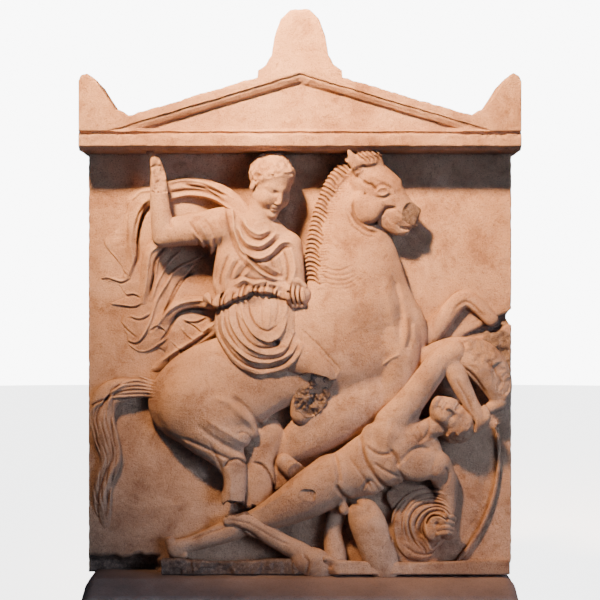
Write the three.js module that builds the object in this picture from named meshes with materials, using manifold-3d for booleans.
// A pedimented marble grave stele on its plinth: in high relief under a cornice, a horseman on a rearing
// horse strikes at a fallen man whose round shield stands behind him. Slab, pediment and relief are one
// block of marble, and the plinth is a second one. Millimetres, +Z up, the carved face looks along -Y,
// and the origin is in the middle of the plinth's underside.
import * as THREE from 'three';
import Module from 'manifold-3d';
import { mergeVertices } from 'three/addons/utils/BufferGeometryUtils.js';

// The slab and its pediment
const SLAB_WIDTH = 1315;
const SLAB_THICKNESS = 115; // behind the background of the relief
const FIELD_HEIGHT = 1300; // from the foot to the underside of the cornice
const PEDIMENT_HEIGHT = 430; // from the underside of the cornice to the top of the middle acroterion
const CORNICE_OVERHANG = 14; // at each side
const CORNICE_PROJECTION = 140; // in front of the background
const CORNICE_BAND_HEIGHT = 34;
const CORNICE_GROOVE_HEIGHT = 10;
const CORNICE_GROOVE_DEPTH = 17;
const CORNICE_BED_HEIGHT = 13; // the moulding under the band
const CORNICE_BED_DEPTH = 22;
const PEDIMENT_SETBACK = 5; // of the gable behind the band
const APEX_HEIGHT = 261; // where the two rakes would meet, above the underside of the cornice
const RAKE_SLOPE = 0.296;
const RAKE_FASCIA = 29; // the plain strip along each rake, measured upright
const RAKE_MOULDING_WIDTH = 20;
const RAKE_MOULDING_DEPTH = 14;
const TYMPANUM_DEPTH = 28;
const MIDDLE_ACROTERION_WIDTH = 258;
const CORNER_ACROTERION_WIDTH = 151;
const CORNER_ACROTERION_HEIGHT = 235; // its top above the underside of the cornice

// The relief
const RELIEF_DEPTH = 112; // in front of the background, of a limb laid out DRAWING_DEPTH squares deep
const BREAK_WIDTH = 226; // of the corner lost at the foot on the left
const BREAK_HEIGHT = 62;
const BREAK_DEPTH = 75;
const NOTCH_WIDTH = 19; // of the chip in the right edge, where a crack runs in
const NOTCH_HEIGHT = 44;
const NOTCH_ROW = 318;
const CRACK_DEPTH = 22; // of the wedge that the crack left beside the notch
const CORNER_CHIP = 34; // at the foot on the right
const LEDGE_HEIGHT = 42; // the ground line that the figures stand on
const LEDGE_DEPTH = 105;
const LEDGE_STONES = 7; // how many rough blocks the broken part shows
const SHIELD_THICKNESS = 12;

// The plinth
const PLINTH_WIDTH = 1310;
const PLINTH_DEPTH = 400;
const PLINTH_HEIGHT = 280;
const PLINTH_BACK = 40; // behind the slab
const PLINTH_SLOPE_DEPTH = 125; // the worn slope in front of the slab
const PLINTH_SLOPE_DROP = 36;
const PLINTH_NOSE = 8; // rounded off its front edge
const PLINTH_CORNER = 34; // worn off its upper corners
const JOINT = 0.3; // between slab and plinth

// The squared drawing that the relief is laid out on: columns count from the left and rows from the top.
// What stands proud of the background was drawn larger by its nearness to the eye, and at() takes that out.
const DRAWING_COLUMNS = 423; // across the slab
const DRAWING_ROWS = 418; // from the foot to the underside of the cornice
const MIDDLE_COLUMN = 300;
const FOOT_ROW = 571.7;
const EYE_ROW = 300;
const EYE_DISTANCE = 1740; // in squares
const DRAWING_DEPTH = 36; // in squares
const SHIELD_COLUMN = 343;
const SHIELD_ROW = 455;
const SHIELD_RADIUS = 157; // in squares
const SHIELD_SHOWN_FROM = 420; // the column right of the fallen man's shoulder
const CRACK_TIP_COLUMN = 450; // where the crack's wedge runs out
const CRACK_TIP_ROW = 341;
const LEDGE_BROKEN_FROM = 163; // the column where the rough part starts, and where it ends
const LEDGE_SOUND_FROM = 332;

const squareX = SLAB_WIDTH / DRAWING_COLUMNS;
const squareZ = FIELD_HEIGHT / DRAWING_ROWS;
const squareY = RELIEF_DEPTH / DRAWING_DEPTH;
const square = Math.sqrt(squareX * squareZ);
const stoneColour = 0xc79f80;
const plinthColour = 0x8d6b58;

const wasm = await Module();
wasm.setup();

const nearnessAt = (depth) => 1 - depth / EYE_DISTANCE;
const heightAt = (row, depth) => (FOOT_ROW - EYE_ROW + (EYE_ROW - row) * nearnessAt(depth)) * squareZ;

// A point of the relief, from its column, row and depth in squares. The background is at y = 0.
function at(column, row, depth) {
  return new THREE.Vector3(
    (column - MIDDLE_COLUMN) * nearnessAt(depth) * squareX,
    -depth * squareY,
    heightAt(row, depth),
  );
}

// The acroteria's outlines as shares: across from the middle or the inner foot, and up from the foot
const MIDDLE_OUTLINE = [[1, 0], [0.986, 0.11], [0.8, 0.18], [0.67, 0.32], [0.598, 0.6],
  [0.446, 0.86], [0.22, 1]];
const CORNER_OUTLINE = [[0, 0], [0.13, 0.113], [0.27, 0.158], [0.34, 0.29], [0.49, 0.55],
  [0.65, 0.86], [0.83, 1],
  [0.95, 0.94], [1, 0.81]];

function solidOf(geometry) {
  const bare = geometry.clone();
  bare.deleteAttribute('normal');
  bare.deleteAttribute('uv');
  const merged = mergeVertices(bare, 1e-4);
  const mesh = new wasm.Mesh({
    numProp: 3,
    vertProperties: new Float32Array(merged.attributes.position.array),
    triVerts: new Uint32Array(merged.index.array),
  });
  return new wasm.Manifold(mesh);
}

function geometryOf(solid) {
  const mesh = solid.getMesh();
  const geometry = new THREE.BufferGeometry();
  geometry.setAttribute('position', new THREE.BufferAttribute(new Float32Array(mesh.vertProperties), 3));
  geometry.setIndex(new THREE.BufferAttribute(new Uint32Array(mesh.triVerts), 1));
  geometry.computeVertexNormals();
  return geometry;
}

// A block between two corners
function block(x0, x1, y0, y1, z0, z1) {
  const box = new THREE.BoxGeometry(x1 - x0, y1 - y0, z1 - z0);
  box.translate((x0 + x1) / 2, (y0 + y1) / 2, (z0 + z1) / 2);
  return solidOf(box);
}

// An outline in x and z, carried from depth y0 in front to y1 behind
function plate(outline, y0, y1) {
  const plane = new THREE.ExtrudeGeometry(new THREE.Shape(outline), { depth: y1 - y0, bevelEnabled: false });
  plane.rotateX(Math.PI / 2);
  plane.translate(0, y1, 0);
  return solidOf(plane);
}

// An outline in y and z, carried across from x = -width / 2 to width / 2
function bar(outline, width) {
  const run = new THREE.ExtrudeGeometry(new THREE.Shape(outline), { depth: width, bevelEnabled: false });
  run.rotateX(Math.PI / 2);
  run.rotateZ(Math.PI / 2);
  run.translate(-width / 2, 0, 0);
  return solidOf(run);
}

// A limb: rings of `sides` points carried along the smooth line through the stations, with a rounded end
// at each. A station is [column, row, depth, radius] in squares, and `flat` is its thickness over its width.
function limb(stations, sides = 8, steps = 1, flat = 1) {
  const places = stations.map(([column, row, depth]) => at(column, row, depth));
  const line = new THREE.CatmullRomCurve3(places, false, 'centripetal');
  const radii = stations.map(([column, row, depth, radius]) => radius * square * nearnessAt(depth));
  const count = (stations.length - 1) * steps;
  const rings = [];
  for (let i = 0; i <= count; i += 1) {
    const t = i / count;
    const scaled = t * (radii.length - 1);
    const low = Math.min(Math.floor(scaled), radii.length - 2);
    const share = scaled - low;
    const ease = share * share * (3 - 2 * share);
    const radius = THREE.MathUtils.lerp(radii[low], radii[low + 1], ease);
    rings.push({ centre: line.getPoint(t), tangent: line.getTangent(t), radius });
  }
  const endShare = 0.62; // how far a rounded end stands out, over its radius
  const endNarrow = 0.66;
  const steep = 0.2; // a line nearer to straight out than this keeps its rings level
  const first = rings[0];
  const last = rings[rings.length - 1];
  const cap = (ring, sign) => ({
    centre: ring.centre.clone().addScaledVector(ring.tangent, sign * ring.radius * endShare),
    tangent: ring.tangent,
    radius: ring.radius * endNarrow,
  });
  const rounded = sides > 4;
  const all = rounded ? [cap(first, -1), ...rings, cap(last, 1)] : rings;
  const positions = [];
  const outward = new THREE.Vector3(0, -1, 0);
  for (const ring of all) {
    const across = new THREE.Vector3().crossVectors(ring.tangent, outward);
    if (across.length() < steep) across.set(1, 0, 0);
    across.normalize();
    const forward = new THREE.Vector3().crossVectors(across, ring.tangent).normalize();
    for (let s = 0; s < sides; s += 1) {
      const angle = (2 * Math.PI * s) / sides;
      const point = ring.centre.clone()
        .addScaledVector(across, Math.cos(angle) * ring.radius)
        .addScaledVector(forward, Math.sin(angle) * ring.radius * flat);
      positions.push(point.x, point.y, point.z);
    }
  }
  const tip = (ring, sign) => ring.centre.clone().addScaledVector(ring.tangent, (sign * ring.radius) / 3);
  const start = tip(all[0], -1);
  const end = tip(all[all.length - 1], 1);
  positions.push(start.x, start.y, start.z, end.x, end.y, end.z);
  const startIndex = all.length * sides;
  const endIndex = startIndex + 1;
  const index = [];
  for (let s = 0; s < sides; s += 1) {
    const next = (s + 1) % sides;
    index.push(startIndex, next, s);
    for (let r = 0; r + 1 < all.length; r += 1) {
      const a = r * sides + s;
      const b = r * sides + next;
      index.push(a, b, a + sides, b, b + sides, a + sides);
    }
    const topRing = (all.length - 1) * sides;
    index.push(endIndex, topRing + s, topRing + next);
  }
  const geometry = new THREE.BufferGeometry();
  geometry.setAttribute('position', new THREE.BufferAttribute(new Float32Array(positions), 3));
  geometry.setIndex(index);
  let solid = solidOf(geometry);
  if (solid.volume() < 0) {
    geometry.setIndex(index.map((value, i) => index[i - (i % 3) + (2 - (i % 3))]));
    solid = solidOf(geometry);
  }
  return solid;
}

// A fold of cloth, a lock of hair or a rein: a thin limb of few sides
function fold(stations, flat = 1) {
  return limb(stations, 4, 1, flat);
}

// The horse: barrel, neck and head, the legs that are left, the tail
function horse() {
  const parts = [
    limb([[170, 402, 4, 14], [184, 402, 9, 36], [212, 394, 13, 50], [250, 374, 14, 46], [292, 352, 14, 50],
      [332, 338, 14, 58], [368, 330, 13, 54], [396, 335, 11, 32],
      [410, 340, 9, 12]], 12, 1, 0.44), // barrel
    limb([[300, 428, 3, 18], [330, 408, 6, 26], [365, 388, 7, 26], [395, 368, 8, 20]], 7, 1, 0.8), // girth
    limb([[352, 300, 12, 52], [348, 265, 14, 45], [341, 235, 16, 35], [338, 210, 17, 29],
      [341, 188, 17, 21],
      [347, 172, 18, 13]], 10, 1, 0.6), // neck
    limb([[361, 170, 22, 14], [372, 186, 25, 20], [386, 199, 26, 18], [399, 211, 25, 13],
      [411, 219, 23, 11],
      [415, 220, 23, 8]], 7, 1, 0.75), // head
    limb([[366, 206, 28, 14], [374, 212, 28, 15]], 7, 1, 0.75), // cheek
    limb([[384, 222, 23, 5], [404, 231, 22, 5]], 6, 1, 1), // lower lip
    limb([[359, 174, 29, 6], [353, 163, 31, 5], [348, 152, 30, 1.5]], 6, 1, 0.7), // ear
    limb([[381, 190, 33, 3.2], [387, 190, 33, 3.2]], 6, 1, 1), // eye
    limb([[196, 408, 16, 40], [222, 424, 20, 31], [243, 428, 20, 14]], 9, 1, 0.6), // thigh and stifle
    limb([[206, 430, 17, 26], [228, 455, 18, 16], [234, 480, 19, 12],
      [233, 503, 18, 11]], 7, 1, 0.8), // near hock
    limb([[270, 438, 8, 20], [260, 470, 12, 14], [258, 495, 12, 13],
      [256, 508, 12, 12]], 7, 1, 0.8), // far hock
    limb([[229, 521, 19, 6], [244, 521, 20, 10], [266, 534, 20, 9], [288, 545, 19, 8], [304, 555, 18, 9],
      [317, 565, 17, 12], [321, 571, 17, 12]], 7, 1, 1), // near cannon and hoof
    limb([[426, 338, 2, 13], [446, 316, 3, 10], [463, 298, 3, 9], [478, 307, 3, 8], [493, 320, 2, 8]],
      6, 1, 0.8), // far foreleg
    limb([[404, 364, 17, 15], [430, 357, 20, 13], [454, 353, 23, 14], [476, 356, 24, 19],
      [492, 366, 23, 18],
      [501, 388, 21, 11], [502, 402, 21, 8], [496, 410, 21, 7]], 6, 1, 0.8), // near foreleg, broken rough
    limb([[158, 390, 6, 8], [132, 386, 7, 10], [108, 394, 7, 13], [102, 415, 6, 13], [107, 440, 5, 13],
      [110, 460, 5, 11], [103, 480, 4, 9], [102, 505, 3, 8], [107, 535, 1, 6]], 6, 1, 0.7), // tail
    limb([[366, 372, 12, 22], [388, 352, 17, 16], [399, 318, 16, 12],
      [394, 290, 15, 8]], 6, 1, 0.6), // breast
  ];
  for (const shift of [-5, 5]) { // the long hair of the tail
    parts.push(fold([[152, 388 + shift / 2, 11, 3], [122, 388 + shift, 13, 3], [103 - shift, 402, 13, 3.4],
      [103 + shift, 440, 11, 3.4], [107 + shift, 462, 9, 3], [102 + shift / 2, 490, 7, 2.6],
      [104 + shift / 2, 520, 4, 2]]));
  }
  return parts;
}

// The hogged mane: short locks side by side along the crest of the neck
function mane() {
  const crest = new THREE.SplineCurve([[343, 157], [326, 173], [317, 193], [312, 215], [308, 242],
    [306, 272]]
    .map(([column, row]) => new THREE.Vector2(column, row)));
  const locks = 12;
  const parts = [];
  for (let i = 0; i < locks; i += 1) {
    const root = crest.getPoint(i / (locks - 1));
    parts.push(fold([[root.x - 3, root.y + 1, 13, 3.6], [root.x + 7, root.y, 25, 3.6],
      [root.x + 15, root.y + 4, 27, 2]]));
  }
  for (let i = 0; i < 3; i += 1) { // the forelock
    parts.push(fold([[357 + 4 * i, 160 + 2 * i, 28, 3], [366 + 4 * i, 155 + i, 32, 3],
      [375 + i, 158 + 2 * i, 29, 2]]));
  }
  return parts;
}

// The rider: head, raised right arm, tunic, left fist, thigh and the stump of the leg
function rider() {
  const parts = [
    limb([[269, 205, 30, 12], [270, 192, 31, 21], [271, 177, 30, 22.5],
      [271, 170, 29, 17]], 10, 1, 0.85), // head
    limb([[272, 203, 37, 7], [267, 209, 37, 6]], 6, 1, 1), // jaw
    limb([[278, 190, 45, 3], [281, 197, 47, 3]], 5, 1, 1), // nose
    limb([[261, 232, 24, 15], [264, 214, 25, 13]], 7, 1, 0.8), // neck
    limb([[228, 232, 22, 24], [255, 236, 23, 22], [279, 250, 21, 22]], 9, 1, 0.7), // shoulders
    limb([[250, 240, 23, 34], [250, 262, 24, 38], [247, 285, 23, 36]], 10, 1, 0.5), // trunk
    limb([[218, 228, 22, 20], [195, 230, 26, 17], [172, 233, 28, 15],
      [163, 235, 28, 11]], 7, 1, 0.9), // upper arm
    limb([[163, 236, 28, 11], [161, 215, 29, 10], [159, 192, 30, 8.5], [158, 174, 31, 8],
      [154, 158, 31, 4.5],
      [150, 151, 31, 3]], 7, 1, 0.9), // forearm
    limb([[284, 252, 24, 14], [288, 270, 27, 13], [293, 288, 29, 11]], 7, 1, 0.9), // left arm in its cloak
    limb([[294, 294, 31, 11], [303, 295, 31, 9]], 7, 1, 0.9), // left fist
    limb([[255, 300, 20, 32], [260, 322, 25, 43], [264, 346, 26, 38],
      [266, 360, 23, 26]], 10, 1, 0.5), // skirt
    limb([[276, 350, 24, 21], [302, 358, 28, 19], [322, 372, 29, 15],
      [327, 380, 28, 12]], 7, 1, 0.8), // thigh
    limb([[318, 388, 22, 14], [306, 404, 19, 15], [301, 420, 15, 11]], 6, 1, 0.8), // stump of the leg
  ];
  for (const [start, end, row] of [[224, 303, 362], [229, 294, 350],
    [244, 290, 336]]) { // hems of the tunic
    const middle = (start + end) / 2;
    parts.push(fold([[start, 322, 30, 2.5], [start + 14, row - 12, 37, 3], [middle, row + 6, 38, 3.4],
      [end - 8, row - 10, 36, 3], [end, 326, 30, 2.5]]));
  }
  for (let i = 0; i < 6; i += 1) { // the tunic where it blouses over the belt
    const column = 212 + 12 * i;
    const drop = 300 - 16 * Math.sin((i / 5) * Math.PI * 0.8);
    parts.push(fold([[column + 12, 262, 36, 3], [column + 4, 282, 39, 4], [column, drop, 40, 4.4]]));
  }
  return parts;
}

// The cloak: wound round the neck and over the left shoulder, and blown out behind in four tails
function cloak() {
  const parts = [
    limb([[238, 205, 28, 9], [246, 232, 33, 9], [262, 246, 36, 8], [280, 236, 33, 7],
      [292, 242, 28, 6]], 6, 1, 0.8),
    fold([[240, 245, 34, 5], [256, 262, 38, 4.5], [270, 275, 38, 4], [284, 279, 34, 3]]),
    limb([[236, 208, 22, 8], [216, 192, 14, 9], [186, 189, 9, 10], [156, 194, 7, 10], [138, 214, 5, 10],
      [132, 245, 4, 10], [128, 272, 3, 8]], 6, 1, 0.6),
    limb([[160, 240, 8, 10], [146, 262, 6, 12], [141, 290, 4, 11], [130, 305, 2, 7]], 6, 1, 0.5),
    limb([[206, 306, 13, 8], [182, 310, 6, 10], [166, 324, 3, 10], [160, 340, 2, 8]], 6, 1, 0.9),
    limb([[218, 328, 8, 8], [202, 338, 5, 8], [184, 346, 2, 8], [166, 358, 1, 7],
      [152, 368, 0, 3]], 6, 1, 0.7),
    limb([[200, 262, 8, 6], [172, 280, 4, 11], [156, 306, 2, 12], [144, 334, 1, 10]], 6, 1, 0.4),
  ];
  const tails = [
    [[232, 205, 26, 3], [208, 197, 17, 3], [184, 195, 14, 3], [158, 202, 11, 3],
      [143, 222, 10, 2.6], [137, 260, 8, 2.4]],
    [[230, 198, 26, 3], [205, 184, 16, 3], [178, 184, 14, 3], [150, 187, 11, 2.6],
      [133, 206, 9, 2.4], [128, 236, 6, 2]],
    [[160, 246, 11, 2.4], [150, 258, 11, 2.6], [148, 282, 9, 2.4], [143, 302, 7, 2.4]],
    [[206, 301, 18, 3], [180, 303, 14, 3], [164, 316, 11, 2.6], [152, 332, 8, 2.4]],
  ];
  for (const line of tails) parts.push(fold(line));
  return parts;
}

// The fallen man: he props himself on one knee, his right arm over his head, his left arm in the shield
function fallenMan() {
  return [
    limb([[340, 477, 19, 22], [358, 470, 22, 28], [382, 457, 22, 32], [404, 448, 22, 32],
      [420, 452, 20, 22]],
      9, 1, 0.62), // trunk
    limb([[394, 438, 32, 15], [404, 446, 32, 14]], 6, 1, 0.8), // breast
    limb([[412, 462, 31, 17], [428, 464, 27, 16]], 7, 1, 0.8), // left shoulder
    limb([[418, 428, 24, 12], [434, 422, 25, 12]], 6, 1, 0.9), // neck
    limb([[444, 412, 27, 17], [453, 416, 28, 20], [461, 424, 27, 14]], 9, 1, 0.85), // head
    limb([[466, 428, 31, 6], [470, 422, 31, 5]], 5, 1, 1), // face
    limb([[392, 424, 22, 18], [409, 404, 26, 15.5], [426, 380, 28, 13.5], [441, 361, 28, 13],
      [453, 354, 28, 12]],
      7, 1, 0.9), // right arm
    limb([[452, 362, 28, 10.5], [459, 380, 31, 10], [470, 402, 31, 8],
      [480, 422, 31, 7.5]], 6, 1, 0.9), // forearm
    limb([[440, 468, 24, 14], [444, 488, 22, 13], [440, 512, 22, 12],
      [440, 530, 21, 11]], 7, 1, 0.9), // left arm
    limb([[332, 479, 20, 26], [304, 496, 22, 23], [278, 511, 21, 17],
      [258, 521, 18, 13]], 9, 1, 0.85), // thigh
    limb([[252, 522, 15, 11], [228, 531, 12, 11], [206, 539, 11, 9], [190, 544, 11, 8],
      [174, 549, 11, 9]], 6, 1, 0.9),
    limb([[170, 541, 11, 6], [182, 553, 13, 6]], 6, 1, 1), // foot
    limb([[365, 508, 22, 18], [369, 530, 26, 21], [378, 553, 26, 19],
      [386, 571, 24, 14]], 9, 1, 0.8), // left knee
    limb([[337, 512, 11, 9], [333, 534, 11, 9], [336, 554, 11, 12],
      [336, 566, 11, 12]], 6, 1, 1), // left foot
    limb([[341, 503, 24, 6], [344, 511, 24, 5]], 6, 1, 1),
  ];
}

// The mantle wound on the fallen man's left arm: folds in arcs round the hand
function mantle() {
  const hand = { column: 436, row: 524 };
  const parts = [
    limb([[392, 494, 9, 12], [412, 500, 12, 22], [420, 522, 12, 28], [414, 542, 9, 20]], 7, 1, 0.6),
  ];
  const arcs = 4;
  for (let i = 0; i < arcs; i += 1) {
    const reach = 13 + 9 * i;
    const line = [];
    for (let j = 0; j <= 4; j += 1) {
      const angle = Math.PI * (0.05 + 0.24 * j);
      const column = hand.column + reach * Math.cos(angle);
      const row = hand.row - reach * Math.sin(angle);
      line.push([column, row, 24 - 2.5 * i, 2.6]);
    }
    parts.push(fold(line));
  }
  parts.push(limb([[443, 518, 27, 8], [447, 536, 26, 7]], 6, 1, 0.8)); // the fingers
  return parts;
}

// The inside of the round shield, a low disc behind the fallen man
function shield() {
  const centre = at(SHIELD_COLUMN, SHIELD_ROW, 0);
  const radius = SHIELD_RADIUS * square;
  const disc = new THREE.CylinderGeometry(radius, radius, SHIELD_THICKNESS * 2, 64);
  disc.translate(centre.x, 0, centre.z);
  const left = at(SHIELD_SHOWN_FROM, 0, 0).x;
  const top = heightAt(SHIELD_ROW - SHIELD_RADIUS / 4, 0);
  const shown = block(left, SLAB_WIDTH / 2, -SHIELD_THICKNESS * 2, SHIELD_THICKNESS, 0, top);
  return solidOf(disc).intersect(shown);
}

// The ground under the figures, sound on the right and rough where it broke away on the left
function ground() {
  const soundFrom = at(LEDGE_SOUND_FROM, 0, 0).x;
  const brokenFrom = at(LEDGE_BROKEN_FROM, 0, 0).x;
  const parts = [block(soundFrom, SLAB_WIDTH / 2, -LEDGE_DEPTH, SLAB_THICKNESS / 2, 0, LEDGE_HEIGHT)];
  const stride = (soundFrom - brokenFrom) / LEDGE_STONES;
  for (let i = 0; i < LEDGE_STONES; i += 1) {
    const jut = 0.55 + 0.2 * Math.sin(2.3 * i);
    const from = brokenFrom + stride * i;
    parts.push(block(from, from + stride * 1.02, -LEDGE_DEPTH * jut, SLAB_THICKNESS / 2, 0,
      LEDGE_HEIGHT * (1.1 + 0.14 * Math.cos(1.7 * i))));
  }
  return parts;
}

// The pediment: a cornice with a band and a groove, raking mouldings, a sunk gable and three acroteria
function pediment() {
  const back = SLAB_THICKNESS;
  const width = SLAB_WIDTH + 2 * CORNICE_OVERHANG;
  const bandBottom = FIELD_HEIGHT + CORNICE_BED_HEIGHT;
  const bandTop = bandBottom + CORNICE_BAND_HEIGHT;
  const grooveTop = bandTop + CORNICE_GROOVE_HEIGHT;
  const front = -CORNICE_PROJECTION;
  const point = (y, z) => new THREE.Vector2(y, z);
  const cornice = bar([
    point(back, FIELD_HEIGHT), point(front + CORNICE_BED_DEPTH, FIELD_HEIGHT),
    point(front + CORNICE_BED_DEPTH / 3, FIELD_HEIGHT + CORNICE_BED_HEIGHT * 0.6), point(front, bandBottom),
    point(front, bandTop), point(front + CORNICE_GROOVE_DEPTH, bandTop),
    point(front + CORNICE_GROOVE_DEPTH, grooveTop + 1), point(back, grooveTop + 1),
  ], width);

  const side = width / 2;
  const rakeHeight = (x) => FIELD_HEIGHT + APEX_HEIGHT - x * RAKE_SLOPE;
  const middleFoot = rakeHeight(MIDDLE_ACROTERION_WIDTH / 2);
  const middle = MIDDLE_OUTLINE.map(([across, up]) => new THREE.Vector2(
    (across * MIDDLE_ACROTERION_WIDTH) / 2,
    middleFoot + up * (FIELD_HEIGHT + PEDIMENT_HEIGHT - middleFoot),
  ));
  const cornerInside = side - CORNER_ACROTERION_WIDTH;
  const cornerFoot = rakeHeight(cornerInside);
  const corner = CORNER_OUTLINE.map(([across, up]) => new THREE.Vector2(
    cornerInside + across * CORNER_ACROTERION_WIDTH,
    cornerFoot + up * (FIELD_HEIGHT + CORNER_ACROTERION_HEIGHT - cornerFoot),
  ));
  const rightHalf = [new THREE.Vector2(side, grooveTop), ...corner.slice().reverse(), ...middle];
  const leftHalf = rightHalf.slice().reverse().map((p) => new THREE.Vector2(-p.x, p.y));
  const gableFront = front + PEDIMENT_SETBACK;
  let gable = plate([...rightHalf, ...leftHalf], gableFront, back);

  const foot = grooveTop + CORNICE_GROOVE_HEIGHT / 3;
  const apex = FIELD_HEIGHT + APEX_HEIGHT - RAKE_FASCIA;
  const triangle = (inset) => {
    const top = apex - inset * Math.sqrt(1 + RAKE_SLOPE * RAKE_SLOPE);
    const reach = (top - foot) / RAKE_SLOPE;
    return [new THREE.Vector2(-reach, foot), new THREE.Vector2(reach, foot), new THREE.Vector2(0, top)];
  };
  gable = gable.subtract(plate(triangle(0), gableFront - 1, gableFront + RAKE_MOULDING_DEPTH));
  gable = gable.subtract(plate(triangle(RAKE_MOULDING_WIDTH), gableFront - 1, gableFront + TYMPANUM_DEPTH));
  return [cornice, gable];
}

// The stele: the slab, less its lost corner, with the pediment and the relief
function stele() {
  const halfWidth = SLAB_WIDTH / 2;
  const margin = 1;
  const lost = block(-halfWidth - margin, -halfWidth + BREAK_WIDTH, -RELIEF_DEPTH * 2, BREAK_DEPTH,
    -margin, BREAK_HEIGHT);
  const figures = [
    ...ground(), shield(), ...cloak(), ...horse(), ...mane(), ...fallenMan(), ...mantle(), ...rider(),
  ];
  const field = block(-halfWidth, halfWidth, -RELIEF_DEPTH * 2, SLAB_THICKNESS / 2, 0, FIELD_HEIGHT + margin);
  const relief = wasm.Manifold.union(figures).intersect(field);
  const edge = (column, row) => new THREE.Vector2((column - MIDDLE_COLUMN) * squareX, heightAt(row, 0));
  const notchHalf = NOTCH_HEIGHT / 2 / squareZ;
  const outside = MIDDLE_COLUMN + DRAWING_COLUMNS / 2 + margin;
  const notch = plate([edge(outside, NOTCH_ROW + notchHalf), edge(outside, NOTCH_ROW - notchHalf),
    edge(outside - NOTCH_WIDTH / squareX, NOTCH_ROW + notchHalf / 2)],
  -RELIEF_DEPTH, SLAB_THICKNESS + margin);
  const crack = plate([edge(outside, NOTCH_ROW + notchHalf), edge(outside, NOTCH_ROW - notchHalf),
    edge(CRACK_TIP_COLUMN, CRACK_TIP_ROW)], -margin, CRACK_DEPTH);
  const corner = plate([new THREE.Vector2(halfWidth - CORNER_CHIP / 2, -margin),
    new THREE.Vector2(halfWidth + margin, -margin), new THREE.Vector2(halfWidth + margin, CORNER_CHIP)],
  -RELIEF_DEPTH * 2, SLAB_THICKNESS / 2);
  const slab = block(-halfWidth, halfWidth, 0, SLAB_THICKNESS, 0, FIELD_HEIGHT + margin).subtract(crack);
  const carved = wasm.Manifold.union([slab, relief]).subtract(lost).subtract(notch).subtract(corner);
  return wasm.Manifold.union([carved, ...pediment()]);
}

// The plinth: a plain block with a worn slope in front of the slab and worn upper corners
function plinth() {
  const front = -PLINTH_DEPTH / 2;
  const back = PLINTH_DEPTH / 2;
  const top = PLINTH_HEIGHT - JOINT;
  const point = (y, z) => new THREE.Vector2(y, z);
  const side = PLINTH_WIDTH / 2;
  const run = bar([
    point(back, 0), point(front, 0), point(front, top - PLINTH_SLOPE_DROP - PLINTH_NOSE),
    point(front + PLINTH_NOSE, top - PLINTH_SLOPE_DROP), point(front + PLINTH_SLOPE_DEPTH, top),
    point(back, top),
  ], PLINTH_WIDTH);
  const outline = [
    new THREE.Vector2(-side, 0), new THREE.Vector2(side, 0), new THREE.Vector2(side, top - PLINTH_CORNER),
    new THREE.Vector2(side - PLINTH_CORNER / 3, top - PLINTH_CORNER / 3),
    new THREE.Vector2(side - PLINTH_CORNER, top), new THREE.Vector2(-(side - PLINTH_CORNER), top),
    new THREE.Vector2(-(side - PLINTH_CORNER / 3), top - PLINTH_CORNER / 3),
    new THREE.Vector2(-side, top - PLINTH_CORNER),
  ];
  return run.intersect(plate(outline, front - 1, back + 1));
}

function piece(name, solid, colour) {
  const material = new THREE.MeshStandardMaterial({ color: colour, roughness: 0.85, metalness: 0 });
  const mesh = new THREE.Mesh(geometryOf(solid), material);
  mesh.name = name;
  return mesh;
}

const group = new THREE.Group();
const steleMesh = piece('stele', stele(), stoneColour);
steleMesh.position.set(0, PLINTH_DEPTH / 2 - PLINTH_BACK - SLAB_THICKNESS, PLINTH_HEIGHT);
const plinthMesh = piece('plinth', plinth(), plinthColour);
group.add(steleMesh, plinthMesh);

export default group;
